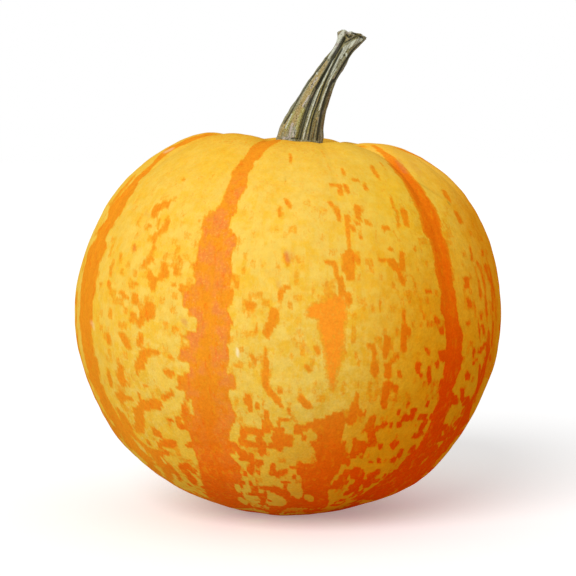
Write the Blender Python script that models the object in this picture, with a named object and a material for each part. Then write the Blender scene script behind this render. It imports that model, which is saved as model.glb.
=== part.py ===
"""A small striped pumpkin with its dried stem, resting on a flat spot under the fruit.

Metres and degrees, +Z up. The origin is the middle of the flat spot. A turn is measured round the
fruit from its front (-Y) towards its right (+X), and a polar angle from the stem down.
"""

import math

import bmesh
import bpy
from mathutils import Matrix, Vector

MM = 0.001

# The fruit: its middle above the ground, and how far its axis leans to the right
FRUIT_CENTRE_HEIGHT = 0.0815
FRUIT_LEAN = 3.5
# Within this height of the ground the skin bends into the flat spot that the fruit rests on
SETTLING = 0.0008

# The round outline of the rib crests: polar angle, then the radius on the left, on the right, and
# at the front and back
FRUIT_OUTLINE = (
    (12, 63.3 * MM, 63.3 * MM, 63.3 * MM),
    (17, 67.0 * MM, 67.0 * MM, 67.4 * MM),
    (22, 72.0 * MM, 71.8 * MM, 72.6 * MM),
    (28, 76.4 * MM, 75.8 * MM, 77.2 * MM),
    (34, 78.5 * MM, 78.6 * MM, 80.3 * MM),
    (41, 80.0 * MM, 80.9 * MM, 82.0 * MM),
    (48, 81.2 * MM, 82.8 * MM, 83.0 * MM),
    (57, 82.9 * MM, 84.0 * MM, 83.9 * MM),
    (68, 83.6 * MM, 84.9 * MM, 84.6 * MM),
    (78, 84.2 * MM, 85.3 * MM, 85.0 * MM),
    (90, 85.0 * MM, 86.0 * MM, 85.5 * MM),
    (102, 85.4 * MM, 86.1 * MM, 85.8 * MM),
    (113, 85.0 * MM, 85.4 * MM, 85.6 * MM),
    (122, 85.5 * MM, 86.0 * MM, 85.7 * MM),
    (133, 86.3 * MM, 87.0 * MM, 86.4 * MM),
    (143, 85.2 * MM, 86.1 * MM, 85.6 * MM),
    (155, 83.4 * MM, 84.3 * MM, 83.8 * MM),
    (168, 83.2 * MM, 83.7 * MM, 83.4 * MM),
    (180, 83.3 * MM, 83.3 * MM, 83.3 * MM),
)

# Ten furrows part the ribs: each one's turn, its share of the full furrow depth, and how far the
# shoulder of the rib that follows it stands above the plain outline
FURROWS = (
    (-68.0, 1.0, 1.2 * MM),
    (-20.5, 1.0, -1.0 * MM),
    (13.1, 0.45, 0.0 * MM),
    (44.5, 1.0, 0.6 * MM),
    (80.0, 0.8, 0.4 * MM),
    (116.0, 1.0, -1.2 * MM),
    (151.0, 0.9, 0.2 * MM),
    (187.0, 1.0, -2.4 * MM),
    (223.0, 0.8, -1.0 * MM),
    (258.0, 1.0, 0.8 * MM),
)
FURROW_DEPTH = (
    (12, 0.6 * MM),
    (18, 2.2 * MM),
    (25, 2.4 * MM),
    (32, 1.9 * MM),
    (42, 1.6 * MM),
    (62, 1.0 * MM),
    (90, 0.6 * MM),
    (125, 0.7 * MM),
    (148, 1.0 * MM),
    (161, 0.4 * MM),
    (168, 0.0 * MM),
)
FURROW_SHARPNESS = 1.7
SHOULDER_LIFT = ((14, 0.0), (20, 0.6), (28, 1.0), (42, 0.6), (55, 0.2), (70, 0.0))

# Broad, low swellings of the skin: height, waves round the fruit, waves from top to bottom, phase
SWELLINGS = (
    (0.35 * MM, 3, 2.5, 20),
    (0.30 * MM, 5, 4.0, 160),
    (0.22 * MM, 9, 6.5, 250),
    (0.15 * MM, 14, 9.0, 75),
)
SWELLING_FADE = 40

# The seat of the stem, a flat round in the dimple: its radius, how far it is from the fruit's middle,
# and the hairline gap under the stem. Past its edge the skin rises between these two angles from it
SEAT_RADIUS = 0.013
SEAT_HEIGHT = 0.0620
SEAT_GAP = 0.0003
SEAT_RISE = (-6, 7)

# The dried flower scar, a small pit in the middle of the fruit's lower end
SCAR_RADIUS = 0.0030
SCAR_DEPTH = 0.0007

# The stem: its middle line from above its foot to its cut end, and its radius along that line
STEM_LINE = (
    (4.6 * MM, 0.1 * MM, 148.8 * MM),
    (6.0 * MM, 0.3 * MM, 154.3 * MM),
    (8.1 * MM, 0.7 * MM, 159.9 * MM),
    (10.7 * MM, 1.3 * MM, 166.1 * MM),
    (14.0 * MM, 2.2 * MM, 172.3 * MM),
    (18.1 * MM, 3.4 * MM, 178.5 * MM),
    (22.0 * MM, 4.8 * MM, 184.7 * MM),
    (24.9 * MM, 6.0 * MM, 189.5 * MM),
)
STEM_RADIUS = (
    (0.00, 12.0 * MM),
    (0.03, 10.9 * MM),
    (0.10, 9.6 * MM),
    (0.20, 8.7 * MM),
    (0.33, 7.4 * MM),
    (0.46, 6.1 * MM),
    (0.60, 5.0 * MM),
    (0.75, 4.1 * MM),
    (0.87, 3.8 * MM),
    (0.94, 4.7 * MM),
    (1.00, 6.1 * MM),
)
# The stem's furrows: turn, share of the full depth at the foot, and share at the cut end. Then the
# full depth as a share of the radius, and how far the ridges wind round from foot to end
STEM_FURROWS = (
    (-100, 0.8, 0.8),
    (-48, 0.5, 0.1),
    (2, 1.0, 1.0),
    (36, 0.8, 0.4),
    (74, 0.9, 0.9),
    (122, 1.0, 0.2),
    (168, 0.7, 1.0),
    (214, 1.0, 0.3),
)
STEM_FURROW_DEPTH = ((0.0, 0.24), (0.2, 0.18), (0.6, 0.22), (0.85, 0.26), (1.0, 0.30))
STEM_FURROW_SHARPNESS = 1.1
STEM_TWIST = -22
# Up to this share of the stem's length its sections turn from the fruit's axis to its own line
FOOT_ENDS = 0.15
# The flat underside from the middle out, as shares of its radius, and how far its edge is rounded
FOOT_RINGS = (0.0, 0.6, 0.96)
FOOT_ROUNDING = 0.0006
# The cut end: where the stem starts to turn to it, which way it faces, how deep it is hollowed, and
# its rings from the middle out, each a share of the radius and a share of that depth
CUT_STARTS = 0.80
CUT_FACING = (0.36, 0.34, 0.87)
CUT_HOLLOW = 0.0016
CUT_RINGS = ((0.0, 1.0), (0.45, 0.85), (0.82, 0.25))

# The plain colours of the skin and the stem, and how rough they are
SKIN_COLOUR = (0.90, 0.46, 0.05)
SKIN_ROUGHNESS = 0.42
STEM_COLOUR = (0.30, 0.26, 0.15)
STEM_ROUGHNESS = 0.75

# How finely the solids are divided
PARTS_PER_RIB = 10
FRUIT_RINGS = 40
SEAT_RINGS = 3
RING_CROWDING = 0.5
STEM_PARTS = 48
STEM_RINGS = 32
# The share of the stem's line over which its direction is read, and an angle too small to matter
DIRECTION_STEP = 0.02
TINY_ANGLE = 1e-6


def blend_along(stops, place):
    """The smooth curve through the stops, each a place and a value, read at one place."""
    if place <= stops[0][0]:
        return stops[0][1]
    if place >= stops[-1][0]:
        return stops[-1][1]
    last = len(stops) - 1
    i = max(n for n in range(last) if stops[n][0] <= place)

    def slope(n):
        before = stops[max(n - 1, 0)]
        after = stops[min(n + 1, last)]
        return (after[1] - before[1]) / (after[0] - before[0])

    (x0, y0), (x1, y1) = stops[i], stops[i + 1]
    width = x1 - x0
    t = (place - x0) / width
    return (
        (2 * t**3 - 3 * t**2 + 1) * y0
        + (t**3 - 2 * t**2 + t) * width * slope(i)
        + (3 * t**2 - 2 * t**3) * y1
        + (t**3 - t**2) * width * slope(i + 1)
    )


def ease(low, high, value):
    """0 below low, 1 above high, and a smooth rise between."""
    t = min(max((value - low) / (high - low), 0.0), 1.0)
    return t * t * (3 - 2 * t)


def round_about(turn, across, back):
    """The unit direction at a turn, in the plane of two directions."""
    angle = math.radians(turn)
    return across * math.sin(angle) - back * math.cos(angle)


def crease(along, sharpness):
    """How deep the skin lies between two furrows: 1 in either furrow, 0 on the crest between."""
    return (1 - math.sin(math.pi * along)) ** sharpness


def rib_at(share):
    """The rib at a share of the way round: its first furrow, its last, and the way across it."""
    number = (share % 1.0) * len(FURROWS)
    i = int(number) % len(FURROWS)
    return i, (i + 1) % len(FURROWS), number - int(number)


def rib_turn(share):
    """The turn at a share of the way round, with the same share for every rib."""
    first, last, along = rib_at(share)
    start = FURROWS[first][0]
    return start + along * ((FURROWS[last][0] - start) % 360)


def fruit_radius(share, polar):
    """How far the skin is from the fruit's middle."""
    first, last, along = rib_at(share)
    turn = math.radians(rib_turn(share))
    left, right, front = (
        blend_along([(stop[0], stop[side]) for stop in FRUIT_OUTLINE], polar) for side in (1, 2, 3)
    )
    sideways = (left + right + math.sin(turn) * (right - left)) / 2
    radius = front + math.sin(turn) ** 2 * (sideways - front)
    depth = FURROWS[first][1] + (FURROWS[last][1] - FURROWS[first][1]) * ease(0, 1, along)
    radius -= blend_along(FURROW_DEPTH, polar) * depth * crease(along, FURROW_SHARPNESS)
    crest = math.sin(math.pi * along) ** 2
    radius += blend_along(SHOULDER_LIFT, polar) * FURROWS[first][2] * crest
    for height, waves_round, waves_down, phase in SWELLINGS:
        wave = math.sin(waves_round * turn + math.radians(phase))
        wave *= math.cos(waves_down * math.radians(polar) + waves_round)
        radius += height * wave * ease(0, SWELLING_FADE, polar) * ease(0, SWELLING_FADE, 180 - polar)
    return radius


def seat_edge():
    """The polar angle of the seat's edge."""
    return math.degrees(math.atan2(SEAT_RADIUS, SEAT_HEIGHT))


def fruit_place(share, polar):
    """A point of the fruit's skin."""
    edge = seat_edge()
    if polar <= edge + TINY_ANGLE:
        radius = SEAT_HEIGHT / math.cos(math.radians(polar))
    else:
        rim = SEAT_HEIGHT / math.cos(math.radians(edge))
        rise = ease(edge + SEAT_RISE[0], edge + SEAT_RISE[1], polar)
        radius = rim + (fruit_radius(share, polar) - rim) * rise
    outward = round_about(rib_turn(share), Vector((1, 0, 0)), Vector((0, 1, 0)))
    from_axis = radius * math.sin(math.radians(polar))
    on_axis = radius * math.cos(math.radians(polar))
    point = fruit_frame() @ (from_axis * outward + Vector((0, 0, on_axis)))
    point.z = settled(point.z)
    if on_axis < 0:
        point.z += SCAR_DEPTH * (1 - ease(0, SCAR_RADIUS, from_axis))
    return point


def settled(height):
    """The height of a point once the fruit rests: never below the ground, with no sudden edge."""
    if height >= SETTLING:
        return height
    return max(height + SETTLING, 0.0) ** 2 / (4 * SETTLING)


def fruit_frame():
    """From the fruit's own upright axis to where it leans."""
    lean = Matrix.Rotation(math.radians(FRUIT_LEAN), 4, "Y")
    return Matrix.Translation((0, 0, FRUIT_CENTRE_HEIGHT)) @ lean


def fruit_polar(level):
    """The polar angle of a ring: even over the seat, then crowded towards both ends."""
    ring = level * FRUIT_RINGS
    if ring <= SEAT_RINGS:
        return seat_edge() * ring / SEAT_RINGS
    part = (ring - SEAT_RINGS) / (FRUIT_RINGS - SEAT_RINGS)
    part -= RING_CROWDING * math.sin(math.tau * part) / math.tau
    return seat_edge() + (180 - seat_edge()) * part


def stem_middle(along):
    """The stem's middle line at a share of its length, and the line's direction there."""
    foot = fruit_frame() @ Vector((0, 0, SEAT_HEIGHT + SEAT_GAP))
    line = (foot, *STEM_LINE)
    steps = len(line) - 1

    def middle(share):
        return Vector(
            blend_along([(n / steps, point[axis]) for n, point in enumerate(line)], share)
            for axis in range(3)
        )

    low, high = max(along - DIRECTION_STEP, 0.0), min(along + DIRECTION_STEP, 1.0)
    return middle(along), (middle(high) - middle(low)).normalized()


def stem_furrow(turn, along):
    """How deep the stem's side lies at a turn, from 0 on a crest to 1 in the deepest furrow."""
    turn = (turn - STEM_TWIST * along - STEM_FURROWS[0][0]) % 360 + STEM_FURROWS[0][0]
    i = max(n for n in range(len(STEM_FURROWS)) if STEM_FURROWS[n][0] <= turn)
    after = STEM_FURROWS[(i + 1) % len(STEM_FURROWS)]
    across = (turn - STEM_FURROWS[i][0]) / ((after[0] - STEM_FURROWS[i][0]) % 360)
    depths = [foot + (end - foot) * along for _, foot, end in (STEM_FURROWS[i], after)]
    depth = depths[0] + (depths[1] - depths[0]) * ease(0, 1, across)
    return depth * crease(across, STEM_FURROW_SHARPNESS)


def stem_section(share, along, size, sink):
    """A point on one cross section of the stem, drawn in by size and sunk below the section."""
    middle, facing = stem_middle(along)
    axis = fruit_frame().to_3x3() @ Vector((0, 0, 1))
    facing = axis.lerp(facing, ease(0, FOOT_ENDS, along))
    facing = facing.lerp(Vector(CUT_FACING).normalized(), ease(CUT_STARTS, 1, along)).normalized()
    back = (Vector((0, 1, 0)) - facing * facing.y).normalized()
    turn = share * 360
    radius = blend_along(STEM_RADIUS, along)
    radius *= 1 - blend_along(STEM_FURROW_DEPTH, along) * stem_furrow(turn, along)
    return middle + size * radius * round_about(turn, back.cross(facing), back) - sink * facing


def stem_place(share, level):
    """A point of the stem, from the middle of its cut end, over the rim and down to its foot."""
    ring = round(level * STEM_RINGS)
    first, last = len(CUT_RINGS), STEM_RINGS - len(FOOT_RINGS)
    if ring < first:
        size, sunk = CUT_RINGS[ring]
        return stem_section(share, 1.0, size, sunk * CUT_HOLLOW)
    if ring > last:
        return stem_section(share, 0.0, FOOT_RINGS[STEM_RINGS - ring], 0.0)
    along = 1 - (ring - first) / (last - first)
    lift = FOOT_ROUNDING if ring == last else 0.0
    return stem_section(share, along, 1.0, -lift)


def formed_ball(name, parts, rings, place):
    """A ball whose every point is moved to its place, read from its way round and way down."""
    mesh = bpy.data.meshes.new(name)
    form = bmesh.new()
    bmesh.ops.create_uvsphere(form, u_segments=parts, v_segments=rings, radius=1.0)
    for vertex in form.verts:
        share = (math.atan2(vertex.co.y, vertex.co.x) / math.tau) % 1.0
        share = round(share * parts) % parts / parts
        level = math.acos(min(max(vertex.co.z, -1.0), 1.0)) / math.pi
        level = round(level * rings) / rings
        vertex.co = place(share, level)
    bmesh.ops.triangulate(form, faces=form.faces[:])
    bmesh.ops.recalc_face_normals(form, faces=form.faces[:])
    form.to_mesh(mesh)
    form.free()
    mesh.shade_smooth()
    return bpy.data.objects.new(name, mesh)


def plain_material(name, colour, roughness):
    """A plain material of one colour."""
    material = bpy.data.materials.new(name)
    material.use_nodes = True
    shader = material.node_tree.nodes["Principled BSDF"]
    shader.inputs["Base Color"].default_value = (*colour, 1.0)
    shader.inputs["Roughness"].default_value = roughness
    shader.inputs["Metallic"].default_value = 0.0
    return material


def make_fruit():
    """The ribbed fruit, one solid with a seat for the stem and a flat spot underneath."""
    fruit = formed_ball(
        "fruit",
        PARTS_PER_RIB * len(FURROWS),
        FRUIT_RINGS,
        lambda share, level: fruit_place(share, fruit_polar(level)),
    )
    fruit.data.materials.append(plain_material("pumpkin_skin", SKIN_COLOUR, SKIN_ROUGHNESS))
    return fruit


def make_stem():
    """The dried stem, furrowed along its length and flared at its foot and its cut end."""
    stem = formed_ball("stem", STEM_PARTS, STEM_RINGS, stem_place)
    stem.data.materials.append(plain_material("dry_stem", STEM_COLOUR, STEM_ROUGHNESS))
    return stem


def clear_scene():
    """Remove whatever the scene held before."""
    for thing in list(bpy.data.objects):
        bpy.data.objects.remove(thing, do_unlink=True)


def main():
    """Build the pumpkin in a collection of its own."""
    clear_scene()
    pumpkin = bpy.data.collections.new("pumpkin")
    bpy.context.scene.collection.children.link(pumpkin)
    pumpkin.objects.link(make_fruit())
    pumpkin.objects.link(make_stem())


main()
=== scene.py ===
"""The looks of the pumpkin: its mottled skin, its dried stem, the floor, the light and the camera.

Metres and degrees, +Z up. A turn is measured round the fruit from its front (-Y) towards its right
(+X), and a polar angle from the stem down. Where a place was read off the photograph, it is given in
pixels of its frame, counted from the upper left corner, and it is laid on the skin there.
"""

import math

import bpy
import numpy as np
from mathutils import Matrix, Vector, noise


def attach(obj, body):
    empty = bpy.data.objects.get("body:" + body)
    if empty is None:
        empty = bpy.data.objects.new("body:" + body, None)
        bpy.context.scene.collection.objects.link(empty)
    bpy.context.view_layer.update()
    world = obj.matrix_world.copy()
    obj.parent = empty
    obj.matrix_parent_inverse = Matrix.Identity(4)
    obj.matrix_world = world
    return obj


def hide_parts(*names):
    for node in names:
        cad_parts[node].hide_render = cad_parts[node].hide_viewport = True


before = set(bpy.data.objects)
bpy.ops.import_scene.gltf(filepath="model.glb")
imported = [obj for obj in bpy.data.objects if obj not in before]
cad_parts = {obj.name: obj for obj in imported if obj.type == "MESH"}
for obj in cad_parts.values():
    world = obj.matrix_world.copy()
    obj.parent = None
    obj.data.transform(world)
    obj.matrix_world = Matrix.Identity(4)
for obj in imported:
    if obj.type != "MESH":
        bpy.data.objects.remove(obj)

MM = 0.001

# The fruit's form, as in the solids: its middle above the ground, its lean, and its flat spot
FRUIT_CENTRE_HEIGHT = 0.0815
FRUIT_LEAN = 3.5
SETTLING = 0.0008

# The round outline of the rib crests: polar angle, then the radius on the left, on the right, and
# at the front and back
FRUIT_OUTLINE = (
    (12, 63.3 * MM, 63.3 * MM, 63.3 * MM),
    (17, 67.0 * MM, 67.0 * MM, 67.4 * MM),
    (22, 72.0 * MM, 71.8 * MM, 72.6 * MM),
    (28, 76.4 * MM, 75.8 * MM, 77.2 * MM),
    (34, 78.5 * MM, 78.6 * MM, 80.3 * MM),
    (41, 80.0 * MM, 80.9 * MM, 82.0 * MM),
    (48, 81.2 * MM, 82.8 * MM, 83.0 * MM),
    (57, 82.9 * MM, 84.0 * MM, 83.9 * MM),
    (68, 83.6 * MM, 84.9 * MM, 84.6 * MM),
    (78, 84.2 * MM, 85.3 * MM, 85.0 * MM),
    (90, 85.0 * MM, 86.0 * MM, 85.5 * MM),
    (102, 85.4 * MM, 86.1 * MM, 85.8 * MM),
    (113, 85.0 * MM, 85.4 * MM, 85.6 * MM),
    (122, 85.5 * MM, 86.0 * MM, 85.7 * MM),
    (133, 86.3 * MM, 87.0 * MM, 86.4 * MM),
    (143, 85.2 * MM, 86.1 * MM, 85.6 * MM),
    (155, 83.4 * MM, 84.3 * MM, 83.8 * MM),
    (168, 83.2 * MM, 83.7 * MM, 83.4 * MM),
    (180, 83.3 * MM, 83.3 * MM, 83.3 * MM),
)

# Ten furrows part the ribs: each one's turn, its share of the full furrow depth, and how far the
# shoulder of the rib that follows it stands above the plain outline
FURROWS = (
    (-68.0, 1.0, 1.2 * MM),
    (-20.5, 1.0, -1.0 * MM),
    (13.1, 0.45, 0.0 * MM),
    (44.5, 1.0, 0.6 * MM),
    (80.0, 0.8, 0.4 * MM),
    (116.0, 1.0, -1.2 * MM),
    (151.0, 0.9, 0.2 * MM),
    (187.0, 1.0, -2.4 * MM),
    (223.0, 0.8, -1.0 * MM),
    (258.0, 1.0, 0.8 * MM),
)
FURROW_DEPTH = (
    (12, 0.6 * MM), (18, 2.2 * MM), (25, 2.4 * MM), (32, 1.9 * MM), (42, 1.6 * MM), (62, 1.0 * MM),
    (90, 0.6 * MM), (125, 0.7 * MM), (148, 1.0 * MM), (161, 0.4 * MM), (168, 0.0 * MM),
)
FURROW_SHARPNESS = 1.7
SHOULDER_LIFT = ((14, 0.0), (20, 0.6), (28, 1.0), (42, 0.6), (55, 0.2), (70, 0.0))

# Broad, low swellings of the skin: height, waves round the fruit, waves from top to bottom, phase
SWELLINGS = (
    (0.35 * MM, 3, 2.5, 20),
    (0.30 * MM, 5, 4.0, 160),
    (0.22 * MM, 9, 6.5, 250),
    (0.15 * MM, 14, 9.0, 75),
)
SWELLING_FADE = 40

# The seat of the stem, and the dried flower scar at the other end
SEAT_RADIUS = 0.013
SEAT_HEIGHT = 0.0620
SEAT_GAP = 0.0003
SEAT_RISE = (-6, 7)
SCAR_RADIUS = 0.0042
SCAR_DEPTH = 0.0007

# Fine lumps of the waxy skin: height and width of each size
LUMPS = ((0.16 * MM, 9.0 * MM), (0.09 * MM, 4.0 * MM), (0.04 * MM, 2.2 * MM))

# How finely the skin is divided, and the cells that its colour is laid in, as files of cells that
# run from the stem to the scar
COLUMNS_PER_RIB = 54
SKIN_RINGS = 176
SEAT_RINGS = 6
CELLS_PER_RIB = 27
CELL_ROWS = 88

# The stem: its middle line from above its foot to its cut end, and its radius along that line
STEM_LINE = (
    (4.6 * MM, 0.1 * MM, 148.8 * MM),
    (6.0 * MM, 0.3 * MM, 154.3 * MM),
    (8.1 * MM, 0.7 * MM, 159.9 * MM),
    (10.7 * MM, 1.3 * MM, 166.1 * MM),
    (14.0 * MM, 2.2 * MM, 172.3 * MM),
    (18.1 * MM, 3.4 * MM, 178.5 * MM),
    (22.0 * MM, 4.8 * MM, 184.7 * MM),
    (24.9 * MM, 6.0 * MM, 189.5 * MM),
)
STEM_RADIUS = (
    (0.00, 12.0 * MM), (0.03, 10.9 * MM), (0.10, 9.6 * MM), (0.20, 8.7 * MM), (0.33, 7.4 * MM),
    (0.46, 6.1 * MM), (0.60, 5.0 * MM), (0.75, 4.1 * MM), (0.87, 3.8 * MM), (0.94, 4.7 * MM),
    (1.00, 6.1 * MM),
)
# The stem's furrows: turn, share of the full depth at the foot, and share at the cut end
STEM_FURROWS = (
    (-100, 0.8, 0.8),
    (-48, 0.5, 0.1),
    (2, 1.0, 1.0),
    (36, 0.8, 0.4),
    (74, 0.9, 0.9),
    (122, 1.0, 0.1),
    (168, 0.7, 0.3),
    (214, 1.0, 0.3),
)
STEM_FURROW_DEPTH = ((0.0, 0.24), (0.2, 0.18), (0.6, 0.22), (0.85, 0.26), (1.0, 0.30))
STEM_FURROW_SHARPNESS = 1.1
STEM_TWIST = -22
FOOT_ENDS = 0.15
FOOT_RINGS = (0.96, 0.6, 0.3)
FOOT_ROUNDING = 0.6 * MM
CUT_STARTS = 0.80
CUT_FACING = (0.36, 0.34, 0.87)
# The cut end from the middle out: a share of the radius, and how deep it lies
CUT_RINGS = (
    (0.08, 1.9 * MM), (0.16, 1.8 * MM), (0.24, 1.5 * MM), (0.33, 1.1 * MM), (0.42, 1.1 * MM),
    (0.52, 1.3 * MM), (0.62, 1.3 * MM), (0.72, 1.0 * MM), (0.81, 0.5 * MM), (0.89, 0.1 * MM),
    (0.95, -0.1 * MM),
)
DIRECTION_STEP = 0.02
STEM_COLUMNS = 192
STEM_RINGS = 150

# Tones of the stem where the photograph shows it, as strokes. Each stroke is its width, then x and y
# of each point that it passes through, in pixels. Dark ones also press the surface in, and pale
# ones lift it a little
# The dark strokes are partly dark strands and partly painted shade in the stem's furrows and in the
# hollow of its cut end
STEM_DARK_AND_SHADE = (
    (2.6, 317.5, 140, 319, 128, 321.5, 114, 325.5, 98, 330, 86, 333.5, 80),
    (2, 300, 139, 303, 127, 306, 116, 309.5, 106, 313, 97, 317, 88, 321.5, 79),
    (3, 317, 88, 322, 78, 327, 68.5, 332, 59), (3.6, 332, 59, 337.5, 49.5, 342, 42, 344, 38),
    (1.4, 297.5, 139, 300.5, 128, 304, 116, 307, 108, 311, 98),
    (1.8, 308.5, 140, 310.5, 130, 312.5, 120, 315, 112, 318, 105),
    (2.2, 318, 105, 320.5, 97, 323.5, 87, 327, 78.5, 331, 70, 335, 62, 339, 54, 342, 49),
    (1.2, 305, 139, 307.5, 128, 311, 116, 314, 107, 318, 96, 321, 88),
    (2.2, 334, 82, 338, 75, 343, 66, 348, 58, 352, 52, 357, 47, 361, 43),
    (1.6, 284, 123, 290, 113, 297, 100, 304, 88, 311, 78, 318, 69, 325, 60, 329, 52),
    (1.4, 344.5, 42.5, 348, 41, 353, 38.2, 358, 36), (2.2, 347, 35, 349, 37, 351, 36),
    (1.6, 352, 33, 358, 35, 363, 38), (1.5, 291, 138.5, 297, 138.5),
    (1.2, 313.5, 139, 315, 130, 317, 121), (1.6, 344, 55, 345, 55.5),
)
# The pale strokes are partly pale strands and partly painted highlights on the ridges and on the rim of
# the cut end
STEM_PALE_AND_HIGHLIGHT = (
    (1.6, 303, 139, 305.5, 128, 308.5, 119, 312, 109, 315.5, 99, 319, 90, 323, 81),
    (1.4, 323, 81, 327, 73, 331, 65, 334, 59),
    (1.8, 319, 110, 321.5, 102, 325.5, 91.5, 328, 84, 331, 77, 333.5, 70, 337, 62, 340, 56),
    (4.4, 338.5, 41.5, 340.5, 37, 343.5, 33), (2.6, 344, 31, 349, 31.2, 353, 32.6),
    (2, 329, 58, 333, 52, 336, 47), (4.2, 343, 50, 348, 46.8, 353, 43.2, 358, 40.6),
    (3.4, 358, 40.6, 361, 39.4), (3, 341, 58, 343, 52, 346, 49), (2, 351, 32.5, 354, 34),
    (1.4, 349, 44, 353, 41), (2.2, 316.5, 73, 317.2, 74),
    (1.6, 342.5, 53.5, 344.5, 52.8, 346.5, 54, 346, 56.5), (1.3, 286, 128, 289, 121, 292, 114),
    (1.4, 330, 80, 333, 74, 336, 69),
)
STEM_OCHRE = (
    (6, 293, 124, 299, 111, 305, 98, 311, 87, 317, 77), (3.5, 317, 77, 322, 69, 326, 62),
    (2.5, 279, 136, 282, 130, 287, 120), (2, 313, 137, 315, 126, 317, 118),
    (2, 317, 101, 321, 90, 325, 82),
)
# The green strokes are partly a yellow-green tone and partly painted highlights along the strands
STEM_GREEN_AND_HIGHLIGHT = (
    (4, 297, 128, 300, 118, 303, 110), (2.5, 296, 138, 299, 128), (2.5, 286, 130, 290, 121, 294, 112),
    (2, 307, 133, 310, 121, 314, 108), (2.6, 318, 95, 323, 84, 328, 74),
)
# The lilac strokes are grey-lilac painted highlights, at the foot, along the stem and at the cut end
STEM_LILAC_HIGHLIGHTS = (
    (4.5, 334, 52, 337, 45, 339.5, 38, 343, 33), (2.5, 345, 33, 350, 32.5),
    (2.6, 289, 138, 290.5, 131, 292.5, 124), (1.6, 293, 137, 294, 130), (2.4, 283, 138, 288, 138),
    (2, 303, 106, 306, 101, 309, 96), (2, 311, 88, 314, 82, 317, 78), (2.2, 319, 122, 321, 116, 323, 111),
    (1.8, 330, 86, 333, 80, 336, 76),
)
STEM_RUST = (
    (2, 322, 128, 325, 115, 328, 103, 330, 92), (1.6, 308, 107, 313, 95, 317, 86, 321, 79),
    (1, 335.5, 42, 337.5, 36, 341, 31.5), (1.2, 348, 31, 353, 31.5), (1.6, 336, 84, 341, 74, 347, 64),
)
STEM_TONES = {
    "dark": STEM_DARK_AND_SHADE,
    "pale": STEM_PALE_AND_HIGHLIGHT,
    "ochre": STEM_OCHRE,
    "green": STEM_GREEN_AND_HIGHLIGHT,
    "lilac_highlight": STEM_LILAC_HIGHLIGHTS,
    "rust": STEM_RUST,
}
# How far the side has to face the camera for these tones, and how soft their edges are, in pixels
TONE_FACING = (0.0, 0.15)
TONE_SOFTNESS = 0.9
STEM_PRESSED = 0.45 * MM
STEM_LIFTED = 0.30 * MM
# The right side of the cut end stands higher, and its left lobe is drawn in
END_STARTS = 0.86
END_LIFT = 1.9 * MM
END_DRAWN_IN = 0.10
# The right side of the foot is drawn in
FOOT_DRAWN_IN = 0.11
FOOT_DRAWN_TO = 0.22

# The stem's fine strands: height, number round it and phase. And its low, uneven lumps: height and
# width
STRANDS = ((0.16 * MM, 23, 0.0), (0.09 * MM, 41, 2.1))
STEM_LUMPS = ((0.22 * MM, 4.0 * MM), (0.10 * MM, 1.6 * MM))
# How those lumps are drawn out upwards, and the seed of the first
LUMP_STRETCH = (1, 1, 0.35)
LUMP_SEED = 60
# The last rings, at the foot, stay smooth
SMOOTH_RINGS = 6

# The photograph's frame and the camera that took it, fitted to the fruit's outline
PHOTO_SIZE = 576
CAMERA_PLACE = (0.0, -0.8200, 0.1677)
CAMERA_TARGET = (-0.00016, 0.0, 0.0892)
CAMERA_LENS = 128.04
SENSOR_WIDTH = 36.0


def blend_along(stops, place):
    """The smooth curve through the stops, each a place and a value, read at many places."""
    x, y = (np.array(column, float) for column in zip(*stops))
    slope = np.empty_like(y)
    slope[1:-1] = (y[2:] - y[:-2]) / (x[2:] - x[:-2])
    slope[0] = (y[1] - y[0]) / (x[1] - x[0])
    slope[-1] = (y[-1] - y[-2]) / (x[-1] - x[-2])
    place = np.clip(place, x[0], x[-1])
    i = np.clip(np.searchsorted(x, place, side="right") - 1, 0, len(x) - 2)
    width = x[i + 1] - x[i]
    t = (place - x[i]) / width
    return (
        (2 * t**3 - 3 * t**2 + 1) * y[i]
        + (t**3 - 2 * t**2 + t) * width * slope[i]
        + (3 * t**2 - 2 * t**3) * y[i + 1]
        + (t**3 - t**2) * width * slope[i + 1]
    )


def ease(low, high, value):
    """0 below low, 1 above high, and a smooth rise between."""
    t = np.clip((value - low) / (high - low), 0.0, 1.0)
    return t * t * (3 - 2 * t)


def unit(vectors):
    """The same directions, each of length 1."""
    return vectors / np.linalg.norm(vectors, axis=-1, keepdims=True)


def crease(along, sharpness):
    """How deep the skin lies between two furrows: 1 in either furrow, 0 on the crest between."""
    return (1 - np.sin(np.pi * along)) ** sharpness


def noise_at(points, size, seed):
    """Smooth noise of about -1 to 1 at many points, with features of a given size."""
    shift = Vector((seed * 17.3, seed * 5.9, seed * 11.7))
    flat = points.reshape(-1, 3) / size
    values = [noise.noise(Vector(point) + shift) for point in flat.tolist()]
    return np.array(values).reshape(points.shape[:-1]) * 1.6


def add_object(name, data):
    """An object in the scene, with a mesh, a lamp or a camera as its data."""
    added = bpy.data.objects.new(name, data)
    bpy.context.scene.collection.objects.link(added)
    return added


# The fruit


def fruit_frame():
    """From the fruit's own upright axis to where it leans."""
    lean = Matrix.Rotation(math.radians(FRUIT_LEAN), 4, "Y")
    return Matrix.Translation((0, 0, FRUIT_CENTRE_HEIGHT)) @ lean


def rib_at(share):
    """The rib at a share of the way round: its first furrow, its last, and the way across it."""
    number = (share % 1.0) * len(FURROWS)
    first = number.astype(int) % len(FURROWS)
    return first, (first + 1) % len(FURROWS), number - np.floor(number)


def rib_turn(share):
    """The turn at a share of the way round, with the same share for every rib."""
    turns = np.array([furrow[0] for furrow in FURROWS])
    first, last, along = rib_at(share)
    return turns[first] + along * ((turns[last] - turns[first]) % 360)


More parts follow.
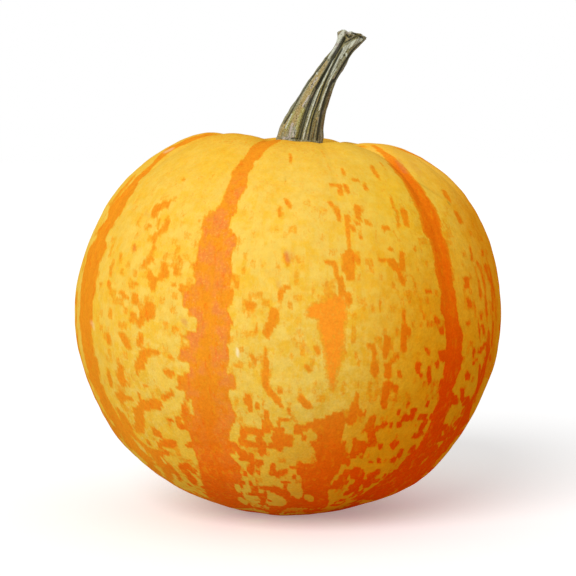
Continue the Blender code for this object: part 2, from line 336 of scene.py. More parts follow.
def fruit_radius(share, polar):
    """How far the skin is from the fruit's middle."""
    first, last, along = rib_at(share)
    depths, lifts = (np.array([furrow[n] for furrow in FURROWS]) for n in (1, 2))
    turn = np.radians(rib_turn(share))
    left, right, front = (
        blend_along([(stop[0], stop[side]) for stop in FRUIT_OUTLINE], polar) for side in (1, 2, 3)
    )
    sideways = (left + right + np.sin(turn) * (right - left)) / 2
    radius = front + np.sin(turn) ** 2 * (sideways - front)
    depth = depths[first] + (depths[last] - depths[first]) * ease(0, 1, along)
    radius = radius - blend_along(FURROW_DEPTH, polar) * depth * crease(along, FURROW_SHARPNESS)
    radius += blend_along(SHOULDER_LIFT, polar) * lifts[first] * np.sin(np.pi * along) ** 2
    for height, waves_round, waves_down, phase in SWELLINGS:
        wave = np.sin(waves_round * turn + math.radians(phase))
        wave = wave * np.cos(waves_down * np.radians(polar) + waves_round)
        fade = ease(0, SWELLING_FADE, polar) * ease(0, SWELLING_FADE, 180 - polar)
        radius += height * wave * fade
    return radius


def seat_edge():
    """The polar angle of the seat's edge."""
    return math.degrees(math.atan2(SEAT_RADIUS, SEAT_HEIGHT))


def settled(height):
    """The height of a point once the fruit rests: never below the ground, with no sudden edge."""
    return np.where(height >= SETTLING, height, np.maximum(height + SETTLING, 0) ** 2 / (4 * SETTLING))


def skin_points(share, polar, lumps=False):
    """Points of the fruit's skin, with or without its fine lumps."""
    edge = seat_edge()
    rim = SEAT_HEIGHT / math.cos(math.radians(edge))
    risen = ease(edge + SEAT_RISE[0], edge + SEAT_RISE[1], polar)
    radius = rim + (fruit_radius(share, polar) - rim) * risen
    seat = SEAT_HEIGHT / np.cos(np.radians(np.minimum(polar, edge)))
    radius = np.where(polar <= edge, seat, radius)
    turn = np.radians(rib_turn(share))
    unit = np.stack([np.sin(turn), -np.cos(turn)], -1) * np.sin(np.radians(polar))[..., None]
    unit = np.concatenate([unit, np.cos(np.radians(polar))[..., None]], -1)
    if lumps:
        fade = ease(edge, edge + 12, polar) * ease(180, 165, polar)
        for seed, (height, size) in enumerate(LUMPS):
            radius = radius + height * fade * noise_at(unit * rim, size, seed + 1)
    local = unit * radius[..., None]
    matrix = np.array(fruit_frame())
    points = local @ matrix[:3, :3].T + matrix[:3, 3]
    points[..., 2] = settled(points[..., 2])
    from_axis = np.hypot(local[..., 0], local[..., 1])
    pit = SCAR_DEPTH * (1 - ease(0.4 * SCAR_RADIUS, SCAR_RADIUS, from_axis))
    points[..., 2] += np.where(polar > 90, pit, 0.0)
    return points


def photo_pixels(points, outward):
    """Where points appear in the photograph's frame, and how squarely they face the camera there."""
    place = np.array(CAMERA_PLACE)
    ahead = unit(np.array(CAMERA_TARGET) - place)
    right = unit(np.cross(ahead, (0, 0, 1)))
    up = np.cross(right, ahead)
    from_camera = points - place
    focal = CAMERA_LENS / SENSOR_WIDTH * PHOTO_SIZE
    depth = from_camera @ ahead
    x = PHOTO_SIZE / 2 + focal * (from_camera @ right) / depth
    y = PHOTO_SIZE / 2 - focal * (from_camera @ up) / depth
    return x, y, (outward * unit(-from_camera)).sum(-1)


# The colour of the skin. Its stripes lie in the furrows. Where the photograph shows one, its left
# and right edges are given by the pixel row, and elsewhere its half width in the furrow, in metres
STRIPE_A = (
    (140, 263, 282), (147, 251, 269), (152, 248.5, 264), (157, 245, 261), (163, 239.5, 256),
    (167, 236, 253), (173, 232, 248), (187, 228, 247), (200, 223, 238), (209, 217, 237), (213, 209, 236),
    (218, 205, 232), (228, 202, 229), (236, 203, 236), (246, 199, 236), (252, 198, 232), (263, 197, 231),
    (264, 193, 231), (272, 193, 232), (280, 196, 231), (290, 191, 230), (293, 183, 229), (307, 183, 228),
    (310, 189, 227), (318, 190, 230), (321, 192, 233), (330, 190, 230), (336, 187, 229), (347, 188, 226),
    (350, 179, 228), (359, 178, 229), (361, 189, 228), (374, 189, 227), (376, 177, 234), (389, 177, 236),
    (391, 185, 226), (399, 185, 230), (407, 184, 232), (417, 184, 236), (425, 186, 233), (430, 188, 230),
    (440, 191, 229), (445, 190, 239), (451, 194, 239), (454, 195, 230), (461, 197, 235), (466, 199, 240),
    (477, 201, 242), (490, 205, 241), (500, 209, 246), (508, 216, 254),
)
STRIPE_B = (
    (145, 371, 374), (148, 374, 380), (152, 378, 385), (158, 384, 395), (163, 388, 400), (168, 392, 405),
    (177, 400, 413), (186, 405, 421), (198, 412, 429), (208, 417, 435), (215, 420, 438), (223, 422, 440),
    (235, 424, 443), (238, 430, 444), (247, 432, 447), (259, 434, 450), (271, 436, 452), (283, 439, 453),
    (296, 441, 455), (305, 440, 456), (310, 441, 457), (320, 445, 459), (332, 446, 462), (348, 446, 462),
    (350, 438, 462), (359, 438, 462), (362, 445, 461), (370, 444, 461), (378, 443, 457), (390, 438, 453),
    (398, 439, 455), (412, 434, 448), (423, 431, 444), (435, 425, 441), (446, 418, 433), (456, 408, 427),
    (467, 399, 418), (475, 387, 410), (483, 379, 404), (492, 366, 393), (500, 350, 379),
)
STRIPE_C = (
    (132, 212, 228), (134, 205, 221), (136, 196, 210), (138, 189, 200), (143, 179, 187), (148, 168, 176),
    (152, 163, 169), (156, 159, 165), (161, 154, 159), (166, 149, 153), (171, 143, 149), (177, 137, 143),
    (182, 133, 139), (187, 129, 136), (193, 123, 133), (198, 118, 129), (204, 113, 126), (209, 109, 122),
    (215, 109, 120), (220, 107, 115), (225, 101, 112), (231, 97, 109), (236, 97, 106), (241, 95, 105),
    (248, 90, 106), (252, 89, 104), (265, 85, 98), (283, 82, 96), (300, 80, 93), (317, 80, 92),
    (333, 81, 92), (353, 84, 94), (367, 87, 98), (383, 92, 101), (400, 100, 109), (417, 109, 118),
    (433, 120, 129), (450, 134, 141), (465, 149, 156),
)
STRIPE_D = (
    (296, 335, 344), (303, 322, 348), (305, 307, 348), (318, 307, 347), (320, 318, 347), (328, 317, 346),
    (330, 319, 345), (343, 322, 345), (352, 324, 344), (360, 325, 342.5), (366, 325.5, 340.5),
    (373, 326, 338.5), (380, 327.5, 337), (390, 330, 335),
)
STRIPE_D_LOWER = (
    (413, 334, 343), (417, 324, 345), (421, 316, 345), (430, 312, 343.5), (438, 319, 341),
    (442, 311, 341), (447, 311, 342), (449, 316, 345), (456, 316, 347), (462, 317, 345), (466, 308, 341),
    (474, 303, 338), (476, 303, 334), (485, 302, 330), (493, 303, 326), (500, 290, 330), (508, 280, 325),
)
SEEN_STRIPES = (STRIPE_A, STRIPE_B, STRIPE_C, STRIPE_D_LOWER)

# The stripes where the photograph doesn't show them, one for each furrow: how far the stripe strays
# from it below the shoulder, and the half width at the top, at the middle and at the bottom
UNSEEN_STRIPES = (
    (-9.0, 1.2 * MM, 2.6 * MM, 5.0 * MM),
    (2.0, 2.5 * MM, 7.5 * MM, 8.5 * MM),
    (0.0, 0.6 * MM, 1.0 * MM, 7.0 * MM),
    (4.0, 1.3 * MM, 3.6 * MM, 6.0 * MM),
    (10.5, 1.6 * MM, 3.6 * MM, 6.5 * MM),
    (1.5, 2.0 * MM, 5.4 * MM, 8.0 * MM),
    (-2.0, 1.4 * MM, 2.6 * MM, 6.0 * MM),
    (1.0, 2.4 * MM, 6.8 * MM, 8.5 * MM),
    (-1.5, 1.4 * MM, 3.4 * MM, 6.5 * MM),
    (2.0, 1.8 * MM, 4.8 * MM, 7.0 * MM),
)
# The polar angles of the three half widths, those between which a stripe begins to stray, and the
# fruit's radius by which its width is measured
HALVES_AT = (20, 80, 140)
STRAYING = (14, 32)
FRUIT_RADIUS = 85 * MM

# Flecks of orange, as strokes like those of the stem: on the rib on the left, on the two ribs in the
# middle, on the right, as streaks near the right edge, and some that are only half coloured
FLECKS_LEFT = (
    (3, 182, 180, 184, 179), (6, 154, 214, 156, 208, 167, 204), (2, 167, 204, 171, 201),
    (3, 157, 225, 160, 220), (5, 166, 228, 168, 220), (4.5, 166, 228, 154, 237),
    (4, 154, 237, 154, 247, 151, 259), (5.5, 151, 259, 144, 265), (3, 146, 229, 150, 225),
    (4, 134, 246, 134, 250), (2.5, 121, 255, 121, 261), (3, 180, 258, 185, 257),
    (6.5, 165, 265, 165, 277), (5, 175, 265, 176, 272), (3, 164, 265, 176, 264), (3, 149, 270, 147, 279),
    (2.5, 111, 267, 110, 276), (3, 101, 283, 101, 286), (3.5, 131, 285, 137, 284),
    (6, 166, 272, 161, 277), (7, 154, 280, 153, 287), (3, 172, 285, 176, 284), (4, 120, 291, 126, 297),
    (6.5, 135, 296, 135, 301), (9, 150, 306, 149, 316), (7, 144, 312, 140, 323),
    (6.5, 133, 315, 132, 321), (3, 110, 308, 110, 317), (3, 174, 328, 171, 334),
    (2.5, 174, 328, 178, 328), (5.5, 140, 336, 140, 343), (5.5, 122, 334, 129, 348),
    (4, 108, 334, 109, 344), (9, 144, 354, 139, 366), (5, 144, 352, 158, 353), (4, 137, 369, 137, 373),
    (6, 166, 371, 171, 374), (3, 145, 385, 148, 385), (6, 121, 368, 120, 377, 123, 383),
    (3.5, 108, 371, 111, 386), (5, 164, 398, 172, 393), (5, 117, 395, 131, 399), (5, 122, 393, 122, 400),
    (2.5, 139, 394, 140, 401), (9, 143, 404, 158, 405), (6, 140, 408, 142, 430), (5, 136, 409, 138, 430),
    (6, 122, 416, 130, 430), (3.5, 169, 420, 172, 420), (3, 154, 428, 156, 428), (7, 163, 443, 173, 444),
    (4, 187, 445, 193, 446), (5, 148, 451, 164, 453), (6, 155, 456, 161, 464), (7, 166, 468, 170, 478),
    (3, 170, 466, 181, 480), (5, 180, 466, 195, 483), (5, 187, 466, 194, 471), (3, 131, 433, 165, 467),
    (5, 184, 407, 184, 417), (3, 181, 336, 187, 336), (6, 125, 436, 132, 446), (5, 140, 452, 150, 461),
    (5, 150, 466, 160, 476), (2.5, 134, 176, 125, 187, 116, 198, 111, 205),
)
FLECKS_MIDDLE = (
    (3, 290, 155, 291, 161), (4, 286, 201, 290, 207), (4, 280, 208, 280, 215), (5, 286, 255, 287, 263),
    (5, 281, 292, 281, 298), (4.5, 284, 289, 289, 286), (5, 246, 305, 254, 306), (9, 274, 312, 273, 322),
    (8, 269, 326, 267, 333), (2.5, 257, 326, 257, 332), (4, 265, 348, 265, 356),
    (4.5, 252, 356, 255, 361), (7, 266, 363, 265, 384), (6, 266, 386, 271, 392), (7, 271, 394, 278, 400),
    (3, 279, 403, 282, 407), (9, 247.5, 400, 248, 402), (4, 257, 405, 257, 407), (7, 301, 399, 308, 406),
    (4.5, 316, 347, 317, 352), (5, 306, 366, 309, 369), (3, 289, 404, 289, 405), (3, 289, 411, 289, 413),
    (5.5, 266, 414, 266, 431), (3.5, 280, 420, 287, 420), (6.5, 243, 431, 242, 441),
    (8, 250, 431, 260, 433), (5, 260, 436, 258, 440), (5, 242, 443, 257, 445), (8, 262, 444, 262, 452),
    (5.5, 242, 458, 248, 458), (5, 252, 455, 252, 464), (6, 257, 463, 261, 463), (7, 251, 466, 251, 471),
    (3, 257, 472, 259, 473), (7, 255, 490, 255, 492), (7, 275, 438, 291, 439), (6, 276, 440, 280, 448),
    (4, 269, 446, 282, 448), (6, 282, 443, 290, 445), (5, 273, 466, 272, 472),
    (5, 272, 473, 278, 475, 286, 471), (3.5, 292, 468, 299, 469), (5, 299, 465, 309, 466),
    (8, 300, 471, 305, 473), (5, 267, 488, 274, 489), (7, 274, 489, 284, 494), (7, 287, 484, 287, 495),
    (5, 265, 494, 263, 503), (7, 286, 499, 300, 500), (4, 272, 509, 283, 509), (6, 303, 429, 320, 421),
    (3.5, 296, 427, 299, 427), (2.5, 342, 169, 344, 174), (3.5, 353, 180, 358, 180),
    (3.5, 364, 185, 367, 190), (4.5, 331, 185, 340, 186), (4.5, 340, 187, 341, 194),
    (4, 345, 185, 348, 192), (3.5, 330, 202, 333, 207, 336, 210), (5, 336, 209, 339, 218),
    (5, 347, 216, 347, 223), (4, 347, 224, 349, 240), (3.5, 349, 240, 350, 256), (6, 357, 208, 358, 215),
    (3, 361, 209, 362, 209), (3.5, 357, 223, 361, 221), (3.5, 366, 222, 371, 223),
    (3.5, 352, 226, 354, 231), (3.5, 360, 236, 361, 238), (3, 372, 167, 379, 178),
    (6, 345, 258, 345, 270), (9, 350, 254, 350, 276), (5, 356, 257, 358, 262), (5, 327, 262, 333, 264),
    (4.5, 335, 265, 337, 277), (6, 341, 280, 342, 294), (6, 348, 296, 349, 303), (5, 369, 347, 373, 348),
    (3.5, 374, 350, 374, 360), (7.5, 375, 366, 375, 373), (8.5, 354.5, 407, 350.5, 421),
    (3, 357, 394, 356, 404), (7, 373, 418, 368, 430), (4, 375, 430, 386, 424), (8, 371, 434, 373, 443),
    (4.5, 363, 447, 372, 444), (6, 355, 441, 357, 451), (6, 353, 454, 362, 449), (5, 344, 454, 347, 455),
    (4, 380, 447, 382, 445), (4, 379, 459, 379, 462), (12, 356, 474, 359, 474), (6, 369, 476, 378, 472),
    (4, 364, 486, 373, 478), (4, 345, 494, 353, 490), (3, 334, 414, 343, 413),
)
FLECKS_RIGHT = (
    (6, 385, 228, 386, 228), (4.5, 403, 211, 407, 224), (5, 405, 213, 406, 219), (3, 398, 225, 398, 226),
    (4, 390, 248, 391, 249), (4, 380, 260, 384, 260), (7, 392, 262, 396, 268), (4.5, 402, 253, 402, 268),
    (5, 398, 270, 403, 282), (4, 427, 292, 430, 291), (2.5, 404, 309, 404, 326),
    (6, 404, 327, 403.5, 350), (3.5, 409, 328, 409, 336), (6, 387, 339, 385, 355),
    (4, 391, 360, 398, 358), (7, 388, 366, 388, 376), (7, 387, 384, 396, 388), (7, 386, 389, 384, 405),
    (4, 399, 372, 400, 376), (6, 418, 364, 418, 370), (4, 421, 375, 421, 377), (4, 429, 368, 429, 383),
    (4, 427, 350, 428, 352), (5, 437, 363, 437, 365), (4.5, 436, 319, 437, 323),
    (4.5, 441, 329, 442, 333), (4.5, 415, 410, 412, 418), (4.5, 426, 421, 420, 430),
    (4.5, 414, 437, 421, 433), (4, 399, 427, 400, 425), (5, 397, 442, 392, 446), (5, 380, 446, 381, 446),
    (4.5, 402, 450, 398, 456), (5, 394, 459, 393, 461), (4, 415, 446, 410, 452), (3, 444, 192, 450, 201),
    (3, 456, 212, 461, 222), (4, 462, 389, 462, 400), (6, 455, 397, 455, 402), (8, 444, 427, 450, 430),
    (5, 440, 440, 452, 432), (5, 424, 458, 436, 446), (5, 456, 424, 462, 418), (5, 404, 480, 418, 468),
    (5, 466, 416, 456, 434), (4.5, 455, 434, 444, 450), (2, 390, 197, 394, 209),
    (1.5, 397, 212, 399, 226),
)
FLECKS_LIMB = (
    (2, 470, 247, 472, 259), (2, 482, 251, 483, 256), (2, 477, 262, 482, 273),
    (2, 482, 274, 485, 289, 487, 316), (2, 479, 281, 481, 298), (2, 485, 266, 491, 283),
    (2, 492, 283, 493, 310), (5, 467, 279, 467, 287), (4.5, 469, 302, 470, 304),
    (2.5, 481, 315, 481, 318), (3, 483, 326, 484, 333), (4, 468, 324, 469, 325),
    (4.5, 468, 374, 468, 378), (3.5, 486, 343, 479, 353), (2.5, 477, 359, 473, 365),
    (2, 483, 327, 485, 336), (2, 480, 364, 479, 380, 476, 395), (6, 467, 399, 465, 403),
    (6, 468, 405, 465, 419), (2, 488, 340, 490, 360), (2.5, 484, 365, 480, 385), (3, 474, 396, 468, 412),
    (1.5, 489, 268, 494, 290, 496, 320), (2, 493, 322, 492, 345), (2.5, 489, 330, 487, 352),
    (3, 488, 352, 482, 378), (3, 481, 378, 474, 400), (2.5, 474, 350, 473, 356), (3, 472, 400, 466, 416),
    (1.5, 478, 318, 480, 342), (1, 474, 300, 476, 318), (8, 418, 474, 436, 456), (5, 436, 456, 448, 440),
    (6, 400, 488, 418, 474),
)
FLECKS_FAINT = (
    (4.5, 264, 509, 300, 511.5, 338, 511), (6, 494, 300, 495, 330), (8, 493, 335, 488, 375),
    (6, 484, 372, 474, 402), (3, 176, 186, 176, 188), (3, 153, 193, 153, 194), (3, 137, 218, 138, 214),
    (4, 181, 227, 184, 221), (6, 248, 311, 253, 315), (5, 262, 311, 262, 312), (3.5, 321, 163, 321, 166),
    (3, 325, 172, 326, 174), (3, 285, 180, 285, 182), (6, 330, 281, 333, 292), (4, 314, 286, 313, 295),
    (12, 328, 286, 331, 297), (6, 332, 281, 333, 294), (7, 321, 299, 327, 299), (3.5, 316, 298, 327, 298),
    (5, 373, 348, 376, 354), (4, 377, 376, 377, 388), (3, 361, 228, 362, 229), (3.5, 414, 212, 414, 213),
    (4, 446, 212, 446, 214), (4, 448, 226, 449, 228), (4, 431, 311, 431, 314), (4, 321, 399, 321, 401),
    (4, 259, 396, 259, 398), (4, 296, 421, 297, 422), (3, 322, 150, 330, 170), (5, 291, 356, 292, 359),
    (4, 414, 379, 414, 381), (5, 300, 330, 301, 338), (4, 377, 383, 378, 388), (5, 407, 395, 410, 402),
    (4, 200, 220, 201, 222),
)
# Yellow windows left open inside the orange, as strokes
WINDOWS = (
    (7, 193, 320, 194, 330), (5, 190, 402, 192, 412), (4, 251, 438, 252, 439), (5, 237, 486, 239, 490),
    (4, 240, 499, 246, 503), (7, 272, 497, 283, 502), (9, 291, 487, 298, 494), (6, 307, 497, 311, 499),
    (4, 330, 498, 333, 499), (5, 256, 163, 267, 161), (5.5, 193, 153.5, 197, 150),
    (9, 384, 291, 386, 310), (5, 272, 420, 275, 425), (5, 258, 419, 259, 424), (3, 186, 341, 189, 344),
)
# Patches where the yellow is paler or more golden: how much paler, then the stroke
TINTS = (
    (-0.45, 22, 362, 318, 358, 350), (-0.4, 16, 368, 395, 352, 420), (-0.4, 22, 225, 160, 212, 165),
    (-0.4, 14, 170, 218, 172, 222), (-0.35, 14, 150, 280, 190, 284), (-0.4, 12, 228, 300, 230, 322),
    (-0.3, 10, 270, 320, 310, 322), (-0.35, 16, 125, 415, 165, 440), (-0.4, 14, 270, 440, 290, 440),
    (-0.3, 10, 310, 240, 310, 242), (-0.4, 10, 92, 300, 92, 340), (-0.3, 8, 330, 282, 330, 284),
    (0.3, 12, 175, 260, 190, 262), (0.4, 10, 232, 358, 232, 362), (0.3, 10, 150, 398, 150, 402),
    (0.35, 10, 232, 420, 250, 420), (0.25, 20, 410, 250, 414, 280), (0.3, 12, 390, 300, 392, 302),
)
# Small flaws of the skin, each its strength, then its stroke: rosy bruises, dark pits and scratches,
# and whitish spots
BRUISES = (
    (0.3, 5, 398, 161, 405, 171), (0.12, 5, 411, 163, 420, 174), (0.5, 5, 287, 252, 288, 261),
    (0.2, 3, 293, 252, 293, 257), (0.22, 5, 278, 283, 279, 286), (0.3, 3.5, 134, 247, 134, 251),
    (0.45, 5, 183, 320, 186, 323), (0.2, 5, 146, 213, 147, 215), (0.2, 3, 186, 336, 189, 338),
    (0.2, 4, 306, 348, 308, 350),
)
PITS = (
    (0.25, 1.5, 285, 178, 285, 181), (0.55, 1, 448.5, 203, 449, 205), (0.22, 1, 419, 183, 441, 197),
    (0.12, 1, 394, 208, 399, 224),
)
WHITE_SPOTS = (
    (1, 3, 237.5, 351, 238, 355), (0.6, 1.5, 184.5, 322, 184.5, 323), (0.4, 2, 164, 152.5, 172, 149),
    (0.3, 3, 92, 323, 94, 327),
)

# The least half width of a fleck, and of a fine streak or flaw, in pixels
SLIMMEST_FLECK = 1.4
SLIMMEST_STREAK = 0.7
# Each list of flecks, its least half width, and its share of the full strength
FLECKS = (
    (FLECKS_LEFT, SLIMMEST_FLECK, 1.15),
    (FLECKS_MIDDLE, SLIMMEST_FLECK, 1.3),
    (FLECKS_RIGHT, SLIMMEST_FLECK, 1.4),
    (FLECKS_LIMB, SLIMMEST_STREAK, 1.5),
    (FLECKS_FAINT, SLIMMEST_FLECK, 0.45),
)
# The full strength: its least, what a pixel of width adds, and what a low place adds, which grows
# between two polar angles
FLECK_STRENGTH = (0.42, 0.05, 0.3)
FLECKS_STRONGER = (92, 122)

# The depths between which the edge of each kind of mark fades in: in pixels, but in millimetres for
# the stripes that the photograph doesn't show. Then the depth where there is no mark, and the least
# that a stroke's squared length is taken for
STRIPE_EDGE = (-1.2, 1.0)
FADED_EDGE = (-4.0, 4.5)
FLECK_EDGE = (-1.2, 0.9)
UNSEEN_EDGE = (-0.8, 0.8)
WINDOW_EDGE = (-0.8, 0.6)
TINT_EDGE = (-8, 4)
FLAW_EDGE = (-0.8, 0.8)
OUTSIDE = -99.0
TINY = 1e-6

# What the photograph shows is laid on the skin that faces the camera, by how squarely it does, and
# from the shoulder down, by polar angle. Flaws need this much facing, on the shoulder too
SEEN_FACING = (0.06, 0.12)
SHOULDER = (24, 30)
FLAW_FACING = 0.1

# How much of the skin the random flecks take, by polar angle, and the share of that which is left
# where the photograph's own flecks are laid
FLECK_COVER = (
    (30, 0.0), (45, 0.015), (65, 0.035), (90, 0.09), (110, 0.17), (128, 0.34), (150, 0.55), (175, 0.72),
)
SEEN_COVER = ((30, 0.1), (90, 0.10), (112, 0.12), (130, 0.3), (150, 0.8))
# How much of it faint flecks take besides, and how orange they are
GHOST_COVER = 0.3
GHOST_STRENGTH = 0.45
# The orange tinge round the stem, partly its own tone and partly painted shade by the stem's foot,
# which is left out on the right, and where it fades in, by polar angle. Then how orange the faded
# stripe is, and how ripe the stripe on the right
CROWN_TINGE_AND_SHADE = 0.27
CROWN = (50, 26)
FADED_STRENGTH = 0.75
RIPE_STRIPE = 0.8
# How far painted shade deepens the right side's tone and painted light pales the left side's, and the
# turns between which the tones of the right side end behind it
RIGHT_SHADE_DEEPENING = 0.55
LEFT_LIGHT_PALING = 0.8
BEHIND_RIGHT = (165, 110)
# The flower scar's distance from the fruit's middle, and what keeps its tone off the upper half
SCAR_DISTANCE = 83 * MM
FAR_OFF = 9


def spaced(count):
    """The middles of equal parts of the way from 0 to 1."""
    return (np.arange(count) + 0.5) / count


def cell_noise(share, polar, size, seed):
    """Noise that is the same all over each cell: smooth of a given size, or for no size quite loose."""
    columns = CELLS_PER_RIB * len(FURROWS)
    edge = seat_edge()
    down = edge + spaced(CELL_ROWS) * (180 - edge)
    places = np.meshgrid(spaced(columns), down, indexing="ij")
    if size:
        cells = noise_at(skin_points(*places), size, seed)
    else:
        cells = np.random.default_rng(seed).normal(size=places[0].shape)
    column = np.floor(share * columns).astype(int) % columns
    row = np.floor((polar - edge) / (180 - edge) * CELL_ROWS).astype(int)
    return cells[column, np.clip(row, 0, CELL_ROWS - 1)]


def stroke_depth(x, y, strokes, slimmest=SLIMMEST_FLECK):
    """How deep each pixel lies inside the nearest stroke, and how wide that stroke is."""
    deepest = np.full(x.shape, OUTSIDE)
    width_there = np.zeros(x.shape)
    for width, *path in strokes:
        for n in range(0, len(path) - 2, 2):
            x0, y0, x1, y1 = path[n : n + 4]
            squared = max((x1 - x0) ** 2 + (y1 - y0) ** 2, TINY)
            along = np.clip(((x - x0) * (x1 - x0) + (y - y0) * (y1 - y0)) / squared, 0, 1)
            away = np.hypot(x - x0 - along * (x1 - x0), y - y0 - along * (y1 - y0))
            depth = max(width / 2, slimmest) - away
            width_there = np.where(depth > deepest, width, width_there)
            deepest = np.maximum(deepest, depth)
    return deepest, width_there


def stroke_cover(x, y, strokes, softness):
    """How far each pixel is covered by strokes with soft edges, from 0 to 1."""
    covered = np.zeros(x.shape)
    for stroke in strokes:
        depth, _ = stroke_depth(x, y, [stroke])
        depth += min(stroke[0] / 2 - SLIMMEST_FLECK, 0.0)
        covered = np.maximum(covered, ease(-softness, softness, depth))
    return covered


def stripe_depth(x, y, stripe):
    """How deep each pixel lies inside a stripe, given by the edges in each row."""
    rows, left, right = (np.array(column, float) for column in zip(*stripe))
    inside = np.minimum(x - np.interp(y, rows, left), np.interp(y, rows, right) - x)
    return np.where((y >= rows[0]) & (y <= rows[-1]), inside, OUTSIDE)


def ranked(values):
    """The same field with its values spread evenly from 0 to 1."""
    flat = values.reshape(-1)
    order = np.empty(len(flat))
    order[np.argsort(flat, kind="stable")] = np.arange(len(flat))
    return (order / len(flat)).reshape(values.shape)


def right_side(start, full, turn):
    """A rise from one turn to another on the fruit's right side, which ends again behind it."""
    return ease(start, full, turn) * ease(*BEHIND_RIGHT, turn)


def photo_orange(x, y, polar, ragged, frayed):
    """How orange the photograph's marks make each point, and how far its faded stripe covers it."""
    stripes = np.max([stripe_depth(x, y, stripe) for stripe in SEEN_STRIPES], axis=0)
    orange = ease(*STRIPE_EDGE, stripes + 0.7 * frayed)
    faded = ease(*FADED_EDGE, stripe_depth(x, y, STRIPE_D) + ragged)
    orange = np.maximum(orange, FADED_STRENGTH * faded)
    least, by_width, by_depth = FLECK_STRENGTH
    for flecks, slimmest, share in FLECKS:
        depth, width = stroke_depth(x, y, flecks, slimmest)
        strength = (least + by_width * width + by_depth * ease(*FLECKS_STRONGER, polar)) * share
        spot = ease(*FLECK_EDGE, depth + 0.5 * frayed)
        orange = np.maximum(orange, np.clip(strength, 0, 1) * spot)
    return orange, faded


def unseen_depth(share, polar, turn):
    """How deep each point lies inside a guessed stripe, and that stripe's half width, both in mm."""
    bulges = cell_noise(share, polar, 8 * MM, 22) * ease(30, 70, polar)
    across = FRUIT_RADIUS * np.sin(np.radians(polar))
    deepest = np.full(share.shape, OUTSIDE)
    half_there = np.zeros(share.shape)
    for (furrow, _, _), (strays, *halves) in zip(FURROWS, UNSEEN_STRIPES):
        away = np.abs((turn - furrow - strays * ease(*STRAYING, polar) + 180) % 360 - 180)
        half = np.interp(polar, HALVES_AT, halves)
        depth = (half * (1 + 0.3 * bulges) - away * np.pi / 180 * across) / MM
        half_there = np.where(depth > deepest, half / MM, half_there)
        deepest = np.maximum(deepest, depth)
    return deepest, half_there


def loose_flecks(points, share, polar, seen, grain):
    """How orange the random flecks make each point: a few strong ones, and faint ones between."""
    loose = cell_noise(share, polar, 12 * MM, 31) + cell_noise(share, polar, 5 * MM, 32) + 0.3 * grain
    loose = loose + 0.22 * noise_at(points, 2.2 * MM, 24)
    cover = np.interp(polar, *zip(*FLECK_COVER))
    cover = cover * (1 + (np.interp(polar, *zip(*SEEN_COVER)) - 1) * seen)
    loose = ease(-0.25, 0.25, (ranked(loose) - (1 - cover)) / (cover + 0.02))
    ghosts = ranked(cell_noise(share, polar, 7 * MM, 35) + 0.8 * cell_noise(share, polar, 0, 36))
    ghosts = ease(0, 1, (ghosts - (1 - GHOST_COVER)) / GHOST_COVER) * ease(30, 80, polar)
    return np.maximum(loose, GHOST_STRENGTH * ghosts)


def paleness(share, polar, turn, grain):
    """How pale each point's yellow is, in patches: less so near the stem, on the far left and below."""
    pale = cell_noise(share, polar, 9 * MM, 41) + 0.9 * cell_noise(share, polar, 4 * MM, 42)
    contrast = 0.35 + 0.65 * ease(35, 75, polar)
    pale = (0.5 + (ranked(pale + 0.3 * grain) - 0.5) * contrast) * (0.35 + 0.65 * ease(20, 62, polar))
    pale = pale * (1 - 0.3 * ease(-32, -55, turn) * ease(-165, -130, turn))
    return pale * (1 - 0.65 * ease(100, 128, polar))


def side_tones(turn, polar):
    """How the skin changes round the fruit: painted shade on the right, less blue there and painted light
    on its upper part, and deeper with ripeness below, deeper still under painted shade on the right,
    paler under painted light on the left.
    """
    near_side = ease(173, 150, polar)
    low = ease(100, 130, polar)
    painted_right_shade = np.maximum(
        right_side(8 - 20 * low, 38 - 14 * low, turn) * ease(44, 96, polar),
        right_side(46, 72, turn) * ease(42, 64, polar),
    )
    # Deeper below, partly ripeness and partly painted shade, deeper still under painted shade on the
    # right, and paler under painted light on the left
    ripe_and_shaded = ease(50, 150, polar) + RIGHT_SHADE_DEEPENING * right_side(18, 42, turn) * ease(42, 62, polar) * near_side
    ripe_and_shaded = ripe_and_shaded * (1 - LEFT_LIGHT_PALING * ease(-30, -65, turn) * ease(-170, -130, turn) * near_side)
    painted_right_light = right_side(20, 62, turn) * ease(14, 32, polar) * ease(112, 72, polar)
    return {
        "painted_right_shade": painted_right_shade * near_side,
        "golden": right_side(8, 36, turn) * ease(30, 58, polar) * near_side,
        "painted_right_light": painted_right_light * (0.6 + 0.4 * ease(50, 80, turn)),
        "ripe_and_shaded": ripe_and_shaded,
    }


def skin_flaws(x, y, facing, flaws):
    """How strongly each point of the skin is marked by small flaws, from 0 to 1."""
    marked = np.zeros(x.shape)
    for strength, *stroke in flaws:
        depth, _ = stroke_depth(x, y, [stroke], SLIMMEST_STREAK)
        marked = np.maximum(marked, strength * ease(*FLAW_EDGE, depth))
    return marked * (facing > FLAW_FACING)


